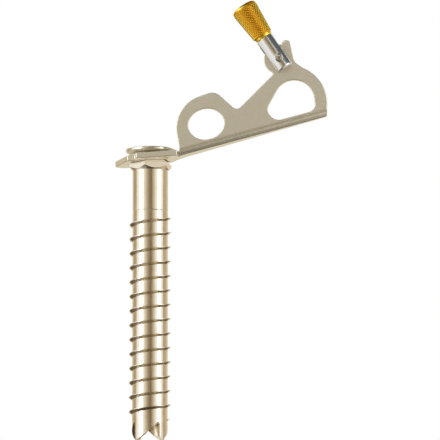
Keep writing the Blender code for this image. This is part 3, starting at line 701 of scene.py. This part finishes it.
def make_hanger():
    outlines = [hanger_outline(), hexagon(NECK_RADIUS + HANGER_PLAY), eye_1(), eye_2(),
                web_arc(PIVOT, PIN_RADIUS + GAP, 0, 352, 44)]
    plate = flat_plate("hanger", outlines, PLATE, EDGE_ROUND)
    bm = bmesh.new()
    bm.from_mesh(plate.data)
    for i in range(FOLD_STEPS + 1):
        cut_across(bm, (0.0, -FOLD_LINE - FOLD_LENGTH * i / FOLD_STEPS, 0.0), (0.0, 1.0, 0.0))
    arm_bend = ARM_BEND_RADIUS * (ARM_SLOPE - HANGER_ROCK)
    for i in range(ARM_BEND_STEPS + 1):
        cut_across(bm, (ARM_BEND_X + arm_bend * i / ARM_BEND_STEPS, 0.0, 0.0), (1.0, 0.0, 0.0))
    for vert in bm.verts:
        vert.co = folded(vert.co)
    bm.to_mesh(plate.data)
    bm.free()
    piece = finished(plate, HANGER_STEEL, "screw", ["hanger", "hanger_flange"], sharp=50)
    weighted = piece.modifiers.new("flat_faces", "WEIGHTED_NORMAL")
    weighted.keep_sharp = True


# The crank: stem, pin, knob, washer and screw
def make_crank_stem():
    foot = [(STEM_RADIUS - STEM_FOOT_ROUND + x, y - STEM_FOOT + STEM_FOOT_ROUND)
            for x, y in arc((0.0, 0.0), STEM_FOOT_ROUND, 0, -90, 10)]
    shoulder = [(STEM_RADIUS - STEM_EDGE, STEM_TOP), (STEM_RADIUS, STEM_TOP - STEM_EDGE)]
    profile = [(0.0, SPINDLE_END), (SPINDLE_RADIUS, SPINDLE_END), (SPINDLE_RADIUS, STEM_TOP)]
    stem = turned("crank_stem", profile + shoulder + foot + [(0.0, -STEM_FOOT)], False, SIDES)

    bm = bmesh.new()
    low = -STEM_FOOT - OVERCUT
    size = Matrix.Diagonal((4 * STEM_RADIUS, PLATE + 2 * GAP, SLOT_TOP - low, 1.0))
    bmesh.ops.create_cube(bm, size=1.0, matrix=Matrix.Translation((0.0, 0.0, (SLOT_TOP + low) / 2)) @ size)
    slot = from_bmesh("slot", bm)

    bm = bmesh.new()
    for side in (-1, 1):
        outward = Matrix.Translation((0.0, side * STEM_RADIUS, 0.0)) @ Matrix.Rotation(
            -side * math.pi / 2, 4, "X")
        bmesh.ops.create_cone(bm, cap_ends=True, segments=64, radius1=PIN_RADIUS + GAP,
                              radius2=PIN_RADIUS + GAP + PIN_RIM, depth=PIN_RIM, matrix=outward)
    rims = from_bmesh("pin_rims", bm)
    hole = rod("pin_hole", PIN_RADIUS + GAP, -2 * STEM_RADIUS, 2 * STEM_RADIUS, 64)
    hole.rotation_euler.x = math.pi / 2
    combine(stem, [slot, hole, rims], "DIFFERENCE")
    finished(stem, STEM_STEEL, "crank", ["crank_stem"], CRANK, sharp=32)
    for tool in (slot, hole, rims):
        bpy.data.objects.remove(tool, do_unlink=True)


def make_pin():
    half = math.sqrt(STEM_RADIUS ** 2 - PIN_RADIUS ** 2) - PIN_RECESS
    profile = softened([(0.0, half), (PIN_RADIUS, half), (PIN_RADIUS, -half), (0.0, -half)], 0.0003, False)
    pin = turned("pivot_pin", profile, False, 48)
    finished(pin, STEM_STEEL, "crank", ["pivot_pin"],
             CRANK @ Matrix.Rotation(math.pi / 2, 4, "X"))


def knurl_height(around, along):
    """Height of a diamond knurl from 0 in its grooves to 1 at its points."""
    first = abs((around + along) % 1.0 - 0.5) * 2
    second = abs((around - along) % 1.0 - 0.5) * 2
    return min(1.0, 1.35 * min(first, second))


def make_knob():
    """The knurled grip as a grid wrapped on the taper, between plain turned ends."""
    top = KNOB_START + KNOB_LENGTH
    bore = SPINDLE_RADIUS + GAP
    well = WASHER_RADIUS + GAP
    ledge = SPINDLE_END - GAP
    low = KNOB_START + KNURL_FOOT * KNOB_CHAMFER
    high = top - KNOB_CHAMFER

    def taper(height):
        share = (height - KNOB_START) / (top - KNOB_CHAMFER - KNOB_START)
        return KNOB_BASE_RADIUS + (KNOB_TOP_RADIUS - KNOB_BASE_RADIUS) * share

    columns = KNURL_COUNT * KNURL_CELL
    rows = KNURL_ROWS * KNURL_CELL
    plain_top = [(well + (KNOB_TOP_RADIUS - well) * math.sin(math.radians(a)) - RIM_SHY,
                  high - RIM_SHY + (KNOB_CROWN + KNOB_CHAMFER) * math.cos(math.radians(a)))
                 for a in range(0, 90, 10)]
    plain_foot = [(taper(KNOB_START + KNOB_CHAMFER) - KNURL_DEPTH, KNOB_START + KNOB_CHAMFER),
                  (taper(KNOB_START) - KNOB_CHAMFER - 0.0001, KNOB_START), (bore, KNOB_START),
                  (bore, ledge), (well, ledge)]
    bm = bmesh.new()
    # The crest layer marks the knurl's tips and also sets the knob's colour: painted shade in the grooves,
    # wear and painted highlight on the tips.
    crest = bm.verts.layers.float.new(CREST)
    rings = []

    def ring(radius_at, height, crest_at=lambda j: PLAIN_CREST):
        rings.append([bm.verts.new((radius_at(j) * math.cos(2 * math.pi * j / columns),
                                    radius_at(j) * math.sin(2 * math.pi * j / columns), height))
                      for j in range(columns)])
        for j, vert in enumerate(rings[-1]):
            vert[crest] = crest_at(j)

    for radius, height in plain_top:
        ring(lambda j: radius, height)
    for i in range(rows + 1):
        height = high - (high - low) * i / rows
        end = min(1.0, 2.5 * min(i, rows - i) / KNURL_CELL)
        tips = [end * knurl_height(j / KNURL_CELL, i / KNURL_CELL) for j in range(columns)]
        ring(lambda j: taper(height) - KNURL_DEPTH * (1.0 - tips[j]), height, lambda j: tips[j])
    for radius, height in plain_foot:
        ring(lambda j: radius, height)
    for upper, lower in zip(rings, rings[1:] + rings[:1]):
        for j in range(columns):
            k = (j + 1) % columns
            bm.faces.new((upper[j], lower[j], lower[k], upper[k]))
    knob = from_bmesh("knob", bm)
    finished(knob, KNOB_GOLD, "knob", ["knob"], CRANK, sharp=35)


def make_washer():
    hole = SCREW_SHANK_RADIUS + GAP
    top = WASHER_START + WASHER_THICKNESS
    profile = [(hole, top), (WASHER_RADIUS, top), (WASHER_RADIUS, WASHER_START), (hole, WASHER_START)]
    washer = turned("knob_washer", softened(profile, 0.00015, True), True, SMALL_SIDES)
    finished(washer, STEM_STEEL, "crank", ["knob_washer"], CRANK)


def make_knob_screw():
    top = SCREW_HEAD_START + SCREW_HEAD_HEIGHT
    end = SPINDLE_END - SCREW_REACH
    profile = [(0.0, top), (SCREW_HEAD_RADIUS, top), (SCREW_HEAD_RADIUS, SCREW_HEAD_START),
               (SCREW_SHANK_RADIUS, SCREW_HEAD_START), (SCREW_SHANK_RADIUS, end), (0.0, end)]
    screw = turned("knob_screw", softened(profile, 0.0003, False), False, SMALL_SIDES)
    socket = rod("socket", SCREW_SOCKET_RADIUS, top - SCREW_SOCKET_DEPTH, top + OVERCUT, 6)
    combine(screw, [socket], "DIFFERENCE")
    finished(screw, STEM_STEEL, "crank", ["knob_screw"], CRANK)
    bpy.data.objects.remove(socket, do_unlink=True)


# Hidden pieces keep their solids and get a finish
def dress(node, material):
    solid = frame["nodes"][node]
    solid.data.materials.clear()
    solid.data.materials.append(material)


# The studio
FLOOR_DROP = 0.42
WALL_REACH = 1.3
WALL_LOW = -0.41
WALL_HIGH = 0.62
LID_REACH = 0.95
LID_HEIGHT = 1.0
LID_COLOUR = (0.11, 0.085, 0.05, 1.0)
FLAG_COLOUR = (0.10, 0.11, 0.11, 1.0)
PIT_MIDDLE = (0.05, 0.035, 0.02, 1.0)
PIT_MIDDLE_RADIUS = 0.13
PIT_BAND_RADIUS = 0.34

# What polished metal sees round about: degrees from the camera's side towards +X, and colour
WALL_COLOURS = ((-180, (0.80, 0.72, 0.56)), (-138, (0.74, 0.65, 0.48)), (-134, (0.42, 0.34, 0.22)),
                (-99, (0.50, 0.41, 0.28)), (-95, (1.0, 1.0, 1.0)), (-44, (1.0, 1.0, 0.98)),
                (-24, (0.62, 0.54, 0.42)), (-10, (0.34, 0.27, 0.17)), (3, (0.24, 0.19, 0.12)),
                (7, (0.12, 0.09, 0.06)), (11, (0.34, 0.28, 0.19)), (25, (0.66, 0.58, 0.45)),
                (38, (1.0, 1.0, 0.98)), (88, (1.0, 1.0, 1.0)), (94, (0.46, 0.37, 0.25)),
                (128, (0.58, 0.49, 0.36)), (140, (0.78, 0.70, 0.55)), (180, (0.80, 0.72, 0.56)))
PIT_COLOURS = ((-180, (0.06, 0.045, 0.025)), (-135, (0.16, 0.12, 0.08)), (-110, (0.8, 0.78, 0.74)),
               (-45, (0.9, 0.88, 0.84)), (-20, (0.30, 0.25, 0.17)), (20, (0.30, 0.25, 0.17)),
               (50, (0.70, 0.66, 0.58)), (120, (0.60, 0.52, 0.40)), (145, (0.16, 0.12, 0.08)),
               (180, (0.06, 0.045, 0.025)))


def azimuth_ramp(tree, stops):
    """Colour by the angle round the object."""
    place = tree.nodes.new("ShaderNodeTexCoord")
    parts = tree.nodes.new("ShaderNodeSeparateXYZ")
    tree.links.new(place.outputs["Object"], parts.inputs["Vector"])
    ahead = tree.nodes.new("ShaderNodeMath")
    ahead.operation = "MULTIPLY"
    ahead.inputs[1].default_value = -1.0
    tree.links.new(parts.outputs["Y"], ahead.inputs[0])
    angle = tree.nodes.new("ShaderNodeMath")
    angle.operation = "ARCTAN2"
    tree.links.new(parts.outputs["X"], angle.inputs[0])
    tree.links.new(ahead.outputs[0], angle.inputs[1])
    share = spread(tree, angle.outputs[0], 0.0, 1.0, -math.pi, math.pi)
    ramp = tree.nodes.new("ShaderNodeValToRGB")
    elements = ramp.color_ramp.elements
    for i, (degrees, colour) in enumerate(stops):
        position = (degrees + 180) / 360
        element = elements[i] if i < 2 else elements.new(position)
        element.position = position
        element.color = (*colour, 1.0)
    tree.links.new(share, ramp.inputs["Fac"])
    return ramp.outputs["Color"], parts


def glow(name):
    material = bpy.data.materials.new(name)
    material.use_nodes = True
    tree = material.node_tree
    tree.nodes.clear()
    emission = tree.nodes.new("ShaderNodeEmission")
    output = tree.nodes.new("ShaderNodeOutputMaterial")
    tree.links.new(emission.outputs["Emission"], output.inputs["Surface"])
    return material, tree, emission


def only_in_reflections(obj, material):
    obj.data.materials.append(material)
    obj.visible_camera = False
    obj.visible_diffuse = False
    obj.visible_shadow = False
    obj.visible_transmission = False


def add_wall():
    """A round wall of bands that only reflections see."""
    bm = bmesh.new()
    bmesh.ops.create_cone(bm, cap_ends=False, segments=96, radius1=WALL_REACH, radius2=WALL_REACH,
                          depth=WALL_HIGH - WALL_LOW,
                          matrix=Matrix.Translation((0.0, 0.0, (WALL_HIGH + WALL_LOW) / 2)))
    material, tree, emission = glow("wall_glow")
    colour, _ = azimuth_ramp(tree, WALL_COLOURS)
    tree.links.new(colour, emission.inputs["Color"])
    only_in_reflections(from_bmesh("wall", bm), material)


def add_pit():
    """A disc below the object that only reflections see, dark underneath and at the back."""
    bm = bmesh.new()
    bmesh.ops.create_circle(bm, cap_ends=True, segments=96, radius=WALL_REACH)
    bmesh.ops.translate(bm, verts=bm.verts, vec=(0.0, 0.0, -FLOOR_DROP + 0.005))
    material, tree, emission = glow("pit_glow")
    colour, parts = azimuth_ramp(tree, PIT_COLOURS)
    flat = tree.nodes.new("ShaderNodeCombineXYZ")
    tree.links.new(parts.outputs["X"], flat.inputs["X"])
    tree.links.new(parts.outputs["Y"], flat.inputs["Y"])
    far = tree.nodes.new("ShaderNodeVectorMath")
    far.operation = "LENGTH"
    tree.links.new(flat.outputs["Vector"], far.inputs[0])
    mix = tree.nodes.new("ShaderNodeMix")
    mix.data_type = "RGBA"
    mix.inputs["A"].default_value = PIT_MIDDLE
    reach = spread(tree, far.outputs["Value"], 0.0, 1.0, PIT_MIDDLE_RADIUS, PIT_BAND_RADIUS)
    tree.links.new(reach, mix.inputs["Factor"])
    tree.links.new(colour, mix.inputs["B"])
    tree.links.new(mix.outputs["Result"], emission.inputs["Color"])
    only_in_reflections(from_bmesh("pit", bm), material)


def add_flag():
    """A dark grey flag high on the right, which shades the upper side of the leaning stem."""
    bm = bmesh.new()
    columns = []
    for i in range(17):
        across = math.radians(10 + 100 * i / 16 - 90)
        columns.append([bm.verts.new((reach * math.cos(across), reach * math.sin(across), up))
                        for reach, up in ((1.2, 0.60), (0.7, 0.95))])
    for left, right in zip(columns, columns[1:]):
        bm.faces.new((left[0], right[0], right[1], left[1]))
    material, tree, emission = glow("flag_glow")
    emission.inputs["Color"].default_value = FLAG_COLOUR
    only_in_reflections(from_bmesh("flag", bm), material)


def add_lid():
    """A brown lid far above that only reflections see, so that metal facing up isn't blank."""
    bm = bmesh.new()
    bmesh.ops.create_circle(bm, cap_ends=True, segments=96, radius=LID_REACH)
    bmesh.ops.translate(bm, verts=bm.verts, vec=(0.0, 0.1, LID_HEIGHT))
    material, tree, emission = glow("lid_glow")
    emission.inputs["Color"].default_value = LID_COLOUR
    only_in_reflections(from_bmesh("lid", bm), material)


def add_floor():
    bm = bmesh.new()
    bmesh.ops.create_grid(bm, x_segments=1, y_segments=1, size=6.0)
    bmesh.ops.translate(bm, verts=bm.verts, vec=(0.0, 0.0, -FLOOR_DROP))
    floor = from_bmesh("floor", bm)
    material, tree, shader = shader_of("floor_finish")
    shader.inputs["Base Color"].default_value = (0.90, 0.90, 0.89, 1.0)
    shader.inputs["Roughness"].default_value = 0.8
    floor.data.materials.append(material)


def add_world():
    """White where the camera, metal or glass looks, and a softer fill for everything else."""
    world = bpy.data.worlds.new("studio")
    world.use_nodes = True
    bpy.context.scene.world = world
    tree = world.node_tree
    tree.nodes.clear()
    path = tree.nodes.new("ShaderNodeLightPath")
    seen = tree.nodes.new("ShaderNodeMath")
    seen.operation = "MAXIMUM"
    tree.links.new(path.outputs["Is Camera Ray"], seen.inputs[0])
    tree.links.new(path.outputs["Is Glossy Ray"], seen.inputs[1])
    through = tree.nodes.new("ShaderNodeMath")
    through.operation = "MAXIMUM"
    tree.links.new(seen.outputs[0], through.inputs[0])
    tree.links.new(path.outputs["Is Transmission Ray"], through.inputs[1])
    fill = tree.nodes.new("ShaderNodeBackground")
    fill.inputs["Color"].default_value = (1.0, 0.99, 0.97, 1.0)
    fill.inputs["Strength"].default_value = 0.55
    white = tree.nodes.new("ShaderNodeBackground")
    white.inputs["Color"].default_value = (1.0, 1.0, 1.0, 1.0)
    white.inputs["Strength"].default_value = 1.0
    choose = tree.nodes.new("ShaderNodeMixShader")
    tree.links.new(through.outputs[0], choose.inputs["Fac"])
    tree.links.new(fill.outputs["Background"], choose.inputs[1])
    tree.links.new(white.outputs["Background"], choose.inputs[2])
    output = tree.nodes.new("ShaderNodeOutputWorld")
    tree.links.new(choose.outputs["Shader"], output.inputs["Surface"])


def add_lamp(name, azimuth, elevation, distance, size, power, mirrored):
    """An area lamp at an angle from the camera's side towards +X, aimed at the object."""
    data = bpy.data.lights.new(name, "AREA")
    data.shape = "RECTANGLE"
    data.size = size[0]
    data.size_y = size[1]
    data.energy = power
    lamp = link(bpy.data.objects.new(name, data))
    across = math.radians(azimuth)
    up = math.radians(elevation)
    back = Vector((math.sin(across) * math.cos(up), -math.cos(across) * math.cos(up), math.sin(up)))
    lamp.location = Vector((0.03, 0.0, -0.03)) + back * distance
    lamp.rotation_mode = "QUATERNION"
    lamp.rotation_quaternion = (-back).to_track_quat("-Z", "Y")
    lamp.visible_glossy = mirrored


make_tube()
make_head_ring()
make_hanger()
make_crank_stem()
make_pin()
make_knob()
make_washer()
make_knob_screw()
dress("detent_plunger", STEM_STEEL)
dress("detent_spring", STEM_STEEL)

add_camera()
add_world()
add_floor()
add_wall()
add_pit()
add_flag()
add_lid()
add_lamp("key_left", -60, 14, 1.1, (0.4, 0.7), 1.8, True)
add_lamp("key_right", 60, 14, 1.1, (0.4, 0.7), 1.2, True)
add_lamp("top", 10, 70, 1.1, (0.8, 0.8), 6.0, False)
add_lamp("low_front", -15, -18, 1.1, (0.5, 0.3), 3.0, False)

bpy.context.scene.view_settings.view_transform = "Standard"
